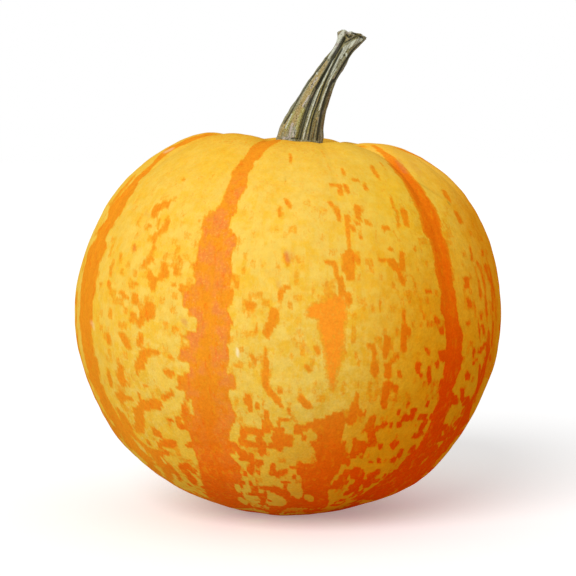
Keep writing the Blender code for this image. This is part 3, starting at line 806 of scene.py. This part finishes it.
def skin_pattern(share, polar):
    """The values that colour each point of the skin, most of them from 0 to 1."""
    points = skin_points(share, polar)
    x, y, facing = photo_pixels(points, unit(points - (0, 0, FRUIT_CENTRE_HEIGHT)))
    seen = ease(*SEEN_FACING, facing) * ease(*SHOULDER, polar)
    turn = (rib_turn(share) + 180) % 360 - 180
    grain = cell_noise(share, polar, 0, 11)
    ragged = 0.9 * cell_noise(share, polar, 5 * MM, 21) + 0.35 * grain
    frayed = ragged + 0.9 * noise_at(points, 2.2 * MM, 23)

    orange, faded = photo_orange(x, y, polar, ragged, frayed)
    depth, half = unseen_depth(share, polar, turn)
    guessed = ease(*UNSEEN_EDGE, depth + 0.9 * frayed)
    orange = np.maximum(orange * seen, guessed * (1 - seen))
    orange = np.maximum(orange, loose_flecks(points, share, polar, seen, grain))
    # The crown's tinge: its own orange tone, and painted shade by the stem's foot
    orange = np.maximum(orange, CROWN_TINGE_AND_SHADE * ease(*CROWN, polar) * (1 - right_side(0, 30, turn)))
    window, _ = stroke_depth(x, y, WINDOWS)
    orange = orange * (1 - ease(*WINDOW_EDGE, window) * seen)

    shown = stripe_depth(x, y, STRIPE_A)
    rosy = ease(0.0, 1.5, shown) * ease(20, 13, shown) * seen
    rosy = rosy + ease(0.0, 1.0, depth) * ease(4.5, 2.5, depth) * ease(3.5, 5.5, half) * (1 - seen)
    rosy = rosy * ease(44, 60, polar) * ease(-1.3, 0.3, cell_noise(share, polar, 6 * MM, 51))

    pale = paleness(share, polar, turn, grain)
    for shift, *stroke in TINTS:
        tinted, _ = stroke_depth(x, y, [stroke])
        pale = pale + shift * ease(*TINT_EDGE, tinted) * seen

    tones = side_tones(turn, polar)
    deep = RIPE_STRIPE * ease(0, 2, stripe_depth(x, y, STRIPE_B)) * ease(28, 42, polar) * seen
    tones["ripe_and_shaded"] = np.maximum(tones["ripe_and_shaded"], deep)
    return {
        **tones,
        "orange": orange,
        "faded": faded * seen,
        "rosy": rosy,
        "pale": pale,
        "bruise": skin_flaws(x, y, facing, BRUISES),
        "white_spot": skin_flaws(x, y, facing, WHITE_SPOTS),
        "pit": skin_flaws(x, y, facing, PITS),
        "blossom": SCAR_DISTANCE * np.sin(np.radians(polar)) / SCAR_RADIUS + FAR_OFF * (polar < 90),
    }


def grid_mesh(name, points):
    """A closed surface over a grid of points, in rings from one end to the other, with two tips."""
    columns, rings = points.shape[:2]
    tips = {-1: rings * columns, rings: rings * columns + 1}
    faces, places = [], []

    def add_face(*corners):
        """A face through corners, each a ring and a column, or a tip in place of the ring."""
        faces.append([tips.get(ring, ring * columns + column % columns) for ring, column in corners])
        places.extend((column / columns, 1 - (ring + 1) / (rings + 1)) for ring, column in corners)

    for ring in range(rings - 1):
        for column in range(columns):
            add_face((ring, column), (ring + 1, column), (ring + 1, column + 1), (ring, column + 1))
    for column in range(columns):
        add_face((-1, column + 0.5), (0, column), (0, column + 1))
    for column in range(columns):
        add_face((rings, column + 0.5), (rings - 1, column + 1), (rings - 1, column))
    ends = [points[:, ring].mean(0).tolist() for ring in (0, -1)]
    mesh = bpy.data.meshes.new(name)
    mesh.from_pydata(points.transpose(1, 0, 2).reshape(-1, 3).tolist() + ends, [], faces)
    mesh.uv_layers.new(name="OFBake").data.foreach_set("uv", np.array(places).reshape(-1))
    mesh.shade_smooth()
    mesh.update()
    return mesh


def make_piece(name, points, values, material):
    """A piece over a grid of points, which keeps a value at every point and at its two tips."""
    mesh = grid_mesh(name, points)
    for kind, value in values.items():
        tips = (value[:, 0].mean(), value[:, -1].mean())
        flat = np.concatenate([value.T.reshape(-1), tips]).astype(np.float32)
        mesh.attributes.new(kind, "FLOAT", "POINT").data.foreach_set("value", flat)
    mesh.materials.append(material)
    return add_object(name, mesh)


def make_fruit():
    """The fruit with its lumps, furrows and mottled skin."""
    edge = seat_edge()
    seat = edge * (np.arange(SEAT_RINGS) + 1) / (SEAT_RINGS + 1)
    down = np.concatenate([seat, edge + spaced(SKIN_RINGS) * (180 - edge)])
    share, polar = np.meshgrid(spaced(COLUMNS_PER_RIB * len(FURROWS)), down, indexing="ij")
    points = skin_points(share, polar, lumps=True)
    return make_piece("pumpkin_fruit", points, skin_pattern(share, polar), skin_material())


# The stem


def stem_middle(along):
    """The stem's middle line at a share of its length, and the line's direction there."""
    foot = fruit_frame() @ Vector((0, 0, SEAT_HEIGHT + SEAT_GAP))
    line = np.array([foot, *STEM_LINE])
    places = np.arange(len(line)) / (len(line) - 1)

    def middle(share):
        """The point of the line at a share of its length."""
        return np.array([float(blend_along([*zip(places, axis)], share)) for axis in line.T])

    low, high = max(along - DIRECTION_STEP, 0.0), min(along + DIRECTION_STEP, 1.0)
    return middle(along), unit(middle(high) - middle(low))


def stem_furrow(turn, along):
    """How deep the stem's side lies at each turn, from 0 on a crest to 1 in the deepest furrow."""
    turns = np.array([furrow[0] for furrow in STEM_FURROWS], float)
    depths = np.array([foot + (end - foot) * along for _, foot, end in STEM_FURROWS])
    turn = (turn - STEM_TWIST * along - turns[0]) % 360 + turns[0]
    first = np.searchsorted(turns, turn, side="right") - 1
    last = (first + 1) % len(turns)
    across = (turn - turns[first]) / ((turns[last] - turns[first]) % 360)
    depth = depths[first] + (depths[last] - depths[first]) * ease(0, 1, across)
    return depth * crease(across, STEM_FURROW_SHARPNESS)


def stem_section(along):
    """The middle of the stem's section, and the way it faces, from the fruit's axis to the cut's."""
    middle, facing = stem_middle(along)
    axis = np.array(fruit_frame().to_3x3() @ Vector((0, 0, 1)))
    facing = axis + (facing - axis) * ease(0, FOOT_ENDS, along)
    cut = unit(np.array(CUT_FACING))
    return middle, unit(facing + (cut - facing) * ease(CUT_STARTS, 1, along))


def stem_ring(along, size, sink, rough):
    """One ring of the stem, drawn in by size and sunk: points, furrow depths and ways outward."""
    middle, facing = stem_section(along)
    back = unit(np.array((0, 1, 0)) - facing * facing[1])
    turn = np.arange(STEM_COLUMNS) / STEM_COLUMNS * 360
    to_right = np.sin(np.radians(turn))
    end = ease(END_STARTS, 1, along)
    deep = stem_furrow(turn, along)
    furrows = float(blend_along(STEM_FURROW_DEPTH, along)) * deep
    radius = float(blend_along(STEM_RADIUS, along)) * (1 - furrows)
    radius = radius * (1 - END_DRAWN_IN * end * np.maximum(-to_right, 0))
    radius = radius * (1 - FOOT_DRAWN_IN * ease(FOOT_DRAWN_TO, 0, along) * np.maximum(to_right, 0))
    if rough:
        for height, count, phase in STRANDS:
            radius = radius + height * np.sin(np.radians(count * (turn - STEM_TWIST * along)) + phase)
    angle = np.radians(turn)[:, None]
    outward = np.cross(back, facing) * np.sin(angle) - back * np.cos(angle)
    points = middle + size * radius[:, None] * outward - sink * facing
    points = points + (END_LIFT * end * size * np.maximum(to_right, 0))[:, None] * facing
    if rough:
        for n, (height, width) in enumerate(STEM_LUMPS):
            lumps = height * size * noise_at(points * np.array(LUMP_STRETCH), width, LUMP_SEED + n)
            points = points + lumps[:, None] * outward
    return points, deep, outward


def stem_tones(points, outward):
    """How far each point of the stem is seen in the photograph, and how far each tone covers it there."""
    x, y, facing = photo_pixels(points, outward)
    seen = ease(*TONE_FACING, facing)
    tones = {name: seen * stroke_cover(x, y, tone, TONE_SOFTNESS) for name, tone in STEM_TONES.items()}
    return {"seen": seen, **tones}


def make_stem():
    """The dried stem, with its ridges, its fine strands and its hollowed, folded cut end."""
    rings = [(1.0, size, sunk) for size, sunk in CUT_RINGS]
    rings += [(1 - ring / (STEM_RINGS - 1), 1.0, 0.0) for ring in range(STEM_RINGS)]
    rings[-1] = (0.0, 1.0, -FOOT_ROUNDING)
    rings += [(0.0, size, 0.0) for size in FOOT_RINGS]
    along, size, _ = np.array(rings).T
    in_cut = np.arange(len(rings)) < len(CUT_RINGS)
    rough = np.arange(len(rings)) < len(rings) - SMOOTH_RINGS
    built = [stem_ring(*ring, is_rough) for ring, is_rough in zip(rings, rough)]
    points, deep, outward = (np.stack(parts, axis=1) for parts in zip(*built))
    tones = stem_tones(points, outward)
    relief = (STEM_LIFTED * tones["pale"] - STEM_PRESSED * tones["dark"]) * (rough & ~in_cut)
    points = points + relief[..., None] * outward
    turn = np.radians(np.arange(STEM_COLUMNS)[:, None] / STEM_COLUMNS * 360 - STEM_TWIST * along)
    values = {
        "furrow": deep,
        "along": np.tile(along, (STEM_COLUMNS, 1)),
        "cut": np.tile((1 - size) * in_cut, (STEM_COLUMNS, 1)),
        "across": np.sin(turn),
        "front": np.cos(turn),
        **tones,
    }
    return make_piece("pumpkin_stem", points, values, stem_material())


# Materials


def linear(red, green, blue):
    """A colour given as it looks on a screen, from 0 to 255, as the shader needs it."""
    return (*(((c / 255 + 0.055) / 1.055) ** 2.4 for c in (red, green, blue)), 1.0)


def set_inputs(node, inputs):
    """Sets each of a node's inputs to a value or joins it to another node's output."""
    for name, value in inputs.items():
        if isinstance(value, bpy.types.NodeSocket):
            node.id_data.links.new(value, node.inputs[name])
        else:
            node.inputs[name].default_value = value


def add_node(kind, inputs, tree=None, **settings):
    """A node with its inputs and settings, in the tree given or in that of the nodes it is joined to."""
    sources = [value for value in inputs.values() if isinstance(value, bpy.types.NodeSocket)]
    tree = tree or sources[0].id_data
    node = tree.nodes.new(kind)
    for name, value in settings.items():
        setattr(node, name, value)
    set_inputs(node, inputs)
    return node


def attribute(tree, name):
    """The value that the mesh keeps at each point."""
    return add_node("ShaderNodeAttribute", {}, tree, attribute_name=name).outputs["Fac"]


def surface_noise(place, size, detail=2.0, roughness=0.5):
    """Smooth noise from 0 to 1 over the surface, with features of a given size in metres."""
    inputs = {"Vector": place, "Scale": 1 / size, "Detail": detail, "Roughness": roughness}
    return add_node("ShaderNodeTexNoise", inputs).outputs["Fac"]


def plus(a, b):
    """The sum of two values."""
    return add_node("ShaderNodeMath", {0: a, 1: b}, operation="ADD").outputs[0]


def minus(a, b):
    """The first value less the second."""
    return add_node("ShaderNodeMath", {0: a, 1: b}, operation="SUBTRACT").outputs[0]


def times(a, b):
    """The product of two values."""
    return add_node("ShaderNodeMath", {0: a, 1: b}, operation="MULTIPLY").outputs[0]


def spread(value, low, high, to_low=0.0, to_high=1.0):
    """A value taken smoothly from one range to another."""
    inputs = {"Value": value, "From Min": low, "From Max": high, "To Min": to_low, "To Max": to_high}
    return add_node("ShaderNodeMapRange", inputs, interpolation_type="SMOOTHSTEP").outputs[0]


def mix(factor, a, b, blend="MIX"):
    """Two colours mixed."""
    inputs = {0: factor, 6: a, 7: b}
    return add_node("ShaderNodeMix", inputs, data_type="RGBA", blend_type=blend).outputs[2]


def layered(colour, *layers, blend="MIX"):
    """A colour with others laid over it one by one, each as far as its factor says."""
    for factor, tone in layers:
        colour = mix(factor, colour, tone, blend)
    return colour


def bump(height, strength, distance):
    """Fine relief of the surface, for a shader's normal."""
    inputs = {"Height": height, "Strength": strength, "Distance": distance}
    return add_node("ShaderNodeBump", inputs).outputs[0]


def object_place(tree):
    """Where a point lies on its own piece."""
    return add_node("ShaderNodeTexCoord", {}, tree).outputs["Object"]


def new_material(name):
    """A material with an empty Principled shader."""
    material = bpy.data.materials.new(name)
    material.use_nodes = True
    return material, material.node_tree, material.node_tree.nodes["Principled BSDF"]


GOLDEN = (0.832, 0.478, 0.036, 1.0)
LEMON = (0.828, 0.548, 0.089, 1.0)
KHAKI = (0.860, 0.560, 0.072, 1.0)
CREAM = (0.860, 0.610, 0.130, 1.0)
AMBER = (0.860, 0.350, 0.012, 1.0)
ORANGE = (0.855, 0.290, 0.014, 1.0)
ROSY = (0.826, 0.248, 0.042, 1.0)
PEACH = (0.900, 0.410, 0.085, 1.0)
DEEP_ORANGE = (0.870, 0.100, 0.001, 1.0)
# The faded stripe's orange, partly its own tone and partly painted light on the front rib
LIT_FADED_ORANGE = (0.980, 0.310, 0.018, 1.0)
BRUISE = (0.620, 0.210, 0.080, 1.0)
PIT = (0.200, 0.150, 0.020, 1.0)
SPOT_WHITE = (0.930, 0.760, 0.420, 1.0)
CORK = (0.300, 0.190, 0.085, 1.0)
BLACK = (0.0, 0.0, 0.0, 1.0)
# What the colour is multiplied by on the right: a painted shade, less blue, and a painted light on its
# upper part
RIGHT_SHADE_TINT = (0.930, 0.570, 0.100, 1.0)
LESS_BLUE = (1.000, 1.000, 0.550, 1.0)
RIGHT_LIGHT_TINT = (1.180, 1.060, 1.250, 1.0)
# How the skin's strands are drawn out, from the stem down
STRAND_STRETCH = (1.0, 1.0, 0.3)


def yellow_skin(tree, place, edge, streak, speckle, soft):
    """The skin's yellow: golden and lemon, with creamy marbling and an amber tinge, turning khaki and
    amber where it is riper and under painted shade.
    """
    ripe_and_shaded = attribute(tree, "ripe_and_shaded")
    cloudy = plus(attribute(tree, "pale"), times(edge, 0.9))
    pale = mix(spread(ripe_and_shaded, 0.2, 0.9), LEMON, KHAKI)
    marble = surface_noise(place, 3.2 * MM, 3.0, 0.6)
    creamy = times(spread(ripe_and_shaded, 0.1, 0.4, 0.1, 0.6), spread(ripe_and_shaded, 0.55, 0.9, 1.0, 0.15))
    return layered(
        mix(spread(cloudy, -0.1, 0.9), GOLDEN, pale),
        (spread(marble, 0.44, 0.64, 0.0, creamy), CREAM),
        (spread(soft, 0.45, 0.75, 0.0, 0.16), AMBER),
        (spread(ripe_and_shaded, 0.85, 1.5, 0.0, 0.45), AMBER),
        (spread(streak, 0.5, 0.72, 0.0, 0.28), AMBER),
        (times(speckle, 0.35), pale),
    )


def orange_skin(tree, strands, streak, speckle, soft):
    """The skin's orange: deeper where it is ripe and under painted shade, with rosy patches and fine
    specks and veins.
    """
    ripe_and_shaded = attribute(tree, "ripe_and_shaded")
    rosy = times(attribute(tree, "rosy"), spread(ripe_and_shaded, 0.4, 1.0, 1.0, 0.1))
    return layered(
        mix(spread(ripe_and_shaded, 0.42, 1.2), ORANGE, DEEP_ORANGE),
        (times(rosy, spread(soft, 0.36, 0.6)), ROSY),
        (times(rosy, spread(speckle, 0.3, 1.0, 0.0, 0.7)), PEACH),
        (spread(speckle, 0.3, 1.0, 0.0, 0.3), ORANGE),
        (spread(streak, 0.5, 0.75, 0.0, 0.45), DEEP_ORANGE),
        (spread(surface_noise(strands, 2.2 * MM, 2.0, 0.6), 0.52, 0.7, 0.0, 0.4), AMBER),
        # The faded stripe, lightened by painted light on the front rib
        (attribute(tree, "faded"), LIT_FADED_ORANGE),
    )


def skin_material():
    """The waxy skin: yellow, with orange stripes and flecks laid in cells, and a few flaws."""
    material, tree, shader = new_material("pumpkin_skin")
    place = object_place(tree)
    stretched = {0: place, 1: STRAND_STRETCH}
    strands = add_node("ShaderNodeVectorMath", stretched, operation="MULTIPLY").outputs[0]
    ragged = surface_noise(place, 1.0 * MM, 3.0, 0.65)
    edge = minus(plus(ragged, surface_noise(strands, 0.9 * MM, 2.0, 0.6)), 1.0)
    streak = surface_noise(strands, 1.3 * MM, 3.0, 0.65)
    speckle = spread(surface_noise(place, 0.8 * MM, 2.0, 0.6), 0.52, 0.68)
    soft = surface_noise(place, 5 * MM, 3.0)
    orange = plus(attribute(tree, "orange"), times(edge, 0.8))
    colour = layered(
        yellow_skin(tree, place, edge, streak, speckle, soft),
        (spread(orange, 0.08, 0.42, 0.0, 0.7), AMBER),
        (spread(orange, 0.3, 0.8), orange_skin(tree, strands, streak, speckle, soft)),
    )
    # Painted shade on the right side, less blue there, and painted light on its upper part
    colour = layered(
        colour,
        (times(attribute(tree, "painted_right_shade"), 0.85), RIGHT_SHADE_TINT),
        (attribute(tree, "golden"), LESS_BLUE),
        (attribute(tree, "painted_right_light"), RIGHT_LIGHT_TINT),
        blend="MULTIPLY",
    )
    blossom = plus(attribute(tree, "blossom"), times(edge, 0.8))
    darkest = spread(plus(orange, attribute(tree, "ripe_and_shaded")), 0.0, 0.9, 0.03, 0.12)
    colour = layered(
        colour,
        (attribute(tree, "bruise"), BRUISE),
        (attribute(tree, "white_spot"), SPOT_WHITE),
        (attribute(tree, "pit"), PIT),
        (spread(blossom, 0.95, 1.2, 0.9, 0.0), CORK),
        (spread(surface_noise(place, 2.6 * MM, 2.0), 0.3, 0.7, 0.0, 0.06), BLACK),
        (spread(surface_noise(place, 0.9 * MM, 2.0, 0.7), 0.3, 0.7, 0.0, darkest), BLACK),
    )
    looks = {
        "Base Color": colour,
        "Roughness": spread(surface_noise(place, 2.5 * MM, 4.0), 0.3, 0.7, 0.38, 0.54),
        "Specular IOR Level": 0.0,
        "Normal": bump(surface_noise(place, 1.6 * MM, 4.0, 0.6), 0.3, 0.3 * MM),
    }
    set_inputs(shader, looks)
    return material


# Of these tones, the lilac one is a painted highlight, the pale one serves pale specks and painted
# highlights, and the black one dark specks and painted shade
BARK_BLACK = linear(36, 37, 24)
BARK_OLIVE = linear(124, 117, 71)
BARK_GREY = linear(150, 151, 129)
BARK_PALE = linear(196, 199, 180)
BARK_OCHRE = linear(168, 144, 84)
BARK_GREEN = linear(166, 158, 74)
BARK_LILAC_HIGHLIGHT = linear(184, 174, 168)
BARK_RUST = linear(108, 74, 48)


def stem_material():
    """The dried stem: olive, grey and ochre strands on its ridges, with painted highlights, and near
    black in its furrows, partly painted shade.
    """
    material, tree, shader = new_material("dry_stem")
    along = attribute(tree, "along")
    way = {"X": attribute(tree, "across"), "Y": attribute(tree, "front"), "Z": times(along, 1.5)}
    strands = add_node("ShaderNodeCombineXYZ", way).outputs[0]
    streak = surface_noise(strands, 0.10, 4.0, 0.65)
    wide = surface_noise(strands, 0.4, 3.0, 0.6)
    grit = surface_noise(object_place(tree), 0.5 * MM, 3.0, 0.7)
    hidden = minus(1.0, attribute(tree, "seen"))
    rough = minus(plus(streak, grit), 1.0)
    dusk = spread(attribute(tree, "pale"), 0.3, 0.9, 0.7, 0.15)
    # Darker towards the foot, in ragged patches
    darker_near_foot = minus(spread(along, 0.03, 0.16, 0.16, 0.0), rough)
    deep = times(attribute(tree, "furrow"), plus(hidden, 0.3))

    def cover(name, reach):
        """How far a tone of the photograph covers the stem, ragged at its edge."""
        return spread(plus(attribute(tree, name), times(rough, 1.5)), 0.2, 1.0, 0.0, reach)

    colour = layered(
        mix(spread(wide, 0.4, 0.65), BARK_OLIVE, BARK_GREY),
        (spread(streak, 0.48, 0.7, 0.0, 0.8), BARK_OCHRE),
        (cover("ochre", 0.85), BARK_OCHRE),
        # A yellow-green tone and painted highlights
        (cover("green", 0.7), BARK_GREEN),
        # Painted highlights
        (cover("lilac_highlight", 0.75), BARK_LILAC_HIGHLIGHT),
        (cover("rust", 0.8), BARK_RUST),
        # Pale strands and painted highlights
        (cover("pale", 0.9), BARK_PALE),
        (spread(grit, 0.52, 0.72, 0.0, 0.6), BARK_PALE),
        (spread(grit, 0.47, 0.32, 0.0, dusk), BARK_BLACK),
        (spread(darker_near_foot, 0.06, 0.3, 0.0, 0.85), BARK_BLACK),
        # Dark strands and painted shade
        (cover("dark", 0.93), BARK_BLACK),
        # Painted shade deep in the furrows, stronger where the side faces away from the camera
        (spread(deep, 0.25, 0.7, 0.0, 0.9), BARK_BLACK),
        (spread(attribute(tree, "cut"), 0.05, 0.3, 0.0, 0.7), BARK_OCHRE),
    )
    looks = {
        "Base Color": colour,
        "Roughness": 0.7,
        "Specular IOR Level": 0.3,
        "Normal": bump(plus(streak, times(grit, 0.5)), 0.7, 0.5 * MM),
    }
    set_inputs(shader, looks)
    return material


# The surroundings

# The light around the fruit, the key light, and how the floor looks and how it lights the fruit
AMBIENT = 0.60
KEY_STRENGTH = 2.16
KEY_SPREAD = 40
KEY_FROM = (-0.42, -0.75, 0.52)
WHITE = (1.0, 1.0, 1.0, 1.0)
FLOOR_SEEN = (0.9, 0.9, 0.9, 1.0)
FLOOR_BOUNCE = (0.50, 0.50, 0.50, 1.0)
FLOOR_GLOW = 0.25
FLOOR_FILL = 0.15
FLOOR_HALF = 4.0
FLOOR_HEIGHT = -0.1 * MM


def aim(thing, place, target):
    """Puts a lamp or camera at a place, looking at a target."""
    thing.location = place
    thing.rotation_euler = (Vector(target) - Vector(place)).to_track_quat("-Z", "Y").to_euler()


def seen_by_camera(tree):
    """1 for what the camera sees itself, and 0 for the light that is thrown on the fruit."""
    return add_node("ShaderNodeLightPath", {}, tree).outputs["Is Camera Ray"]


def floor_material():
    """A plain, pale, faintly glowing floor, which throws less light than it seems to."""
    material, tree, shader = new_material("pale_floor")
    seen = seen_by_camera(tree)
    looks = {
        "Base Color": mix(seen, FLOOR_BOUNCE, FLOOR_SEEN),
        "Emission Strength": spread(seen, 0.0, 1.0, FLOOR_FILL, FLOOR_GLOW),
        "Emission Color": WHITE,
        "Roughness": 0.9,
        "Specular IOR Level": 0.0,
    }
    set_inputs(shader, looks)
    return material


def make_floor():
    """A wide plain floor."""
    mesh = bpy.data.meshes.new("floor")
    half, low = FLOOR_HALF, FLOOR_HEIGHT
    corners = [(-half, -half, low), (half, -half, low), (half, half, low), (-half, half, low)]
    mesh.from_pydata(corners, [], [(0, 1, 2, 3)])
    mesh.materials.append(floor_material())
    floor = add_object("floor", mesh)


def light_scene():
    """A white surround and one broad, soft light from the upper left front."""
    world = bpy.data.worlds.new("studio")
    world.use_nodes = True
    bpy.context.scene.world = world
    strength = spread(seen_by_camera(world.node_tree), 0.0, 1.0, AMBIENT, 1.0)
    set_inputs(world.node_tree.nodes["Background"], {"Color": WHITE, "Strength": strength})
    lamp = bpy.data.lights.new("key", "SUN")
    lamp.energy = KEY_STRENGTH
    lamp.angle = math.radians(KEY_SPREAD)
    aim(add_object("key", lamp), KEY_FROM, (0, 0, 0))
    bpy.context.scene.view_settings.view_transform = "Standard"


def add_camera():
    """The camera of the photograph."""
    data = bpy.data.cameras.new("camera")
    data.lens = CAMERA_LENS
    data.sensor_width = SENSOR_WIDTH
    camera = add_object("camera", data)
    aim(camera, CAMERA_PLACE, CAMERA_TARGET)
    bpy.context.scene.camera = camera


def main():
    """Dresses the solids and sets up the studio."""
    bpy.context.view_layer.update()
    add_camera()
    light_scene()
    make_floor()
    fruit = make_fruit()
    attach(fruit, "root")
    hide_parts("fruit")
    stem = make_stem()
    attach(stem, "root")
    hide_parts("stem")
    bpy.context.view_layer.update()


main()
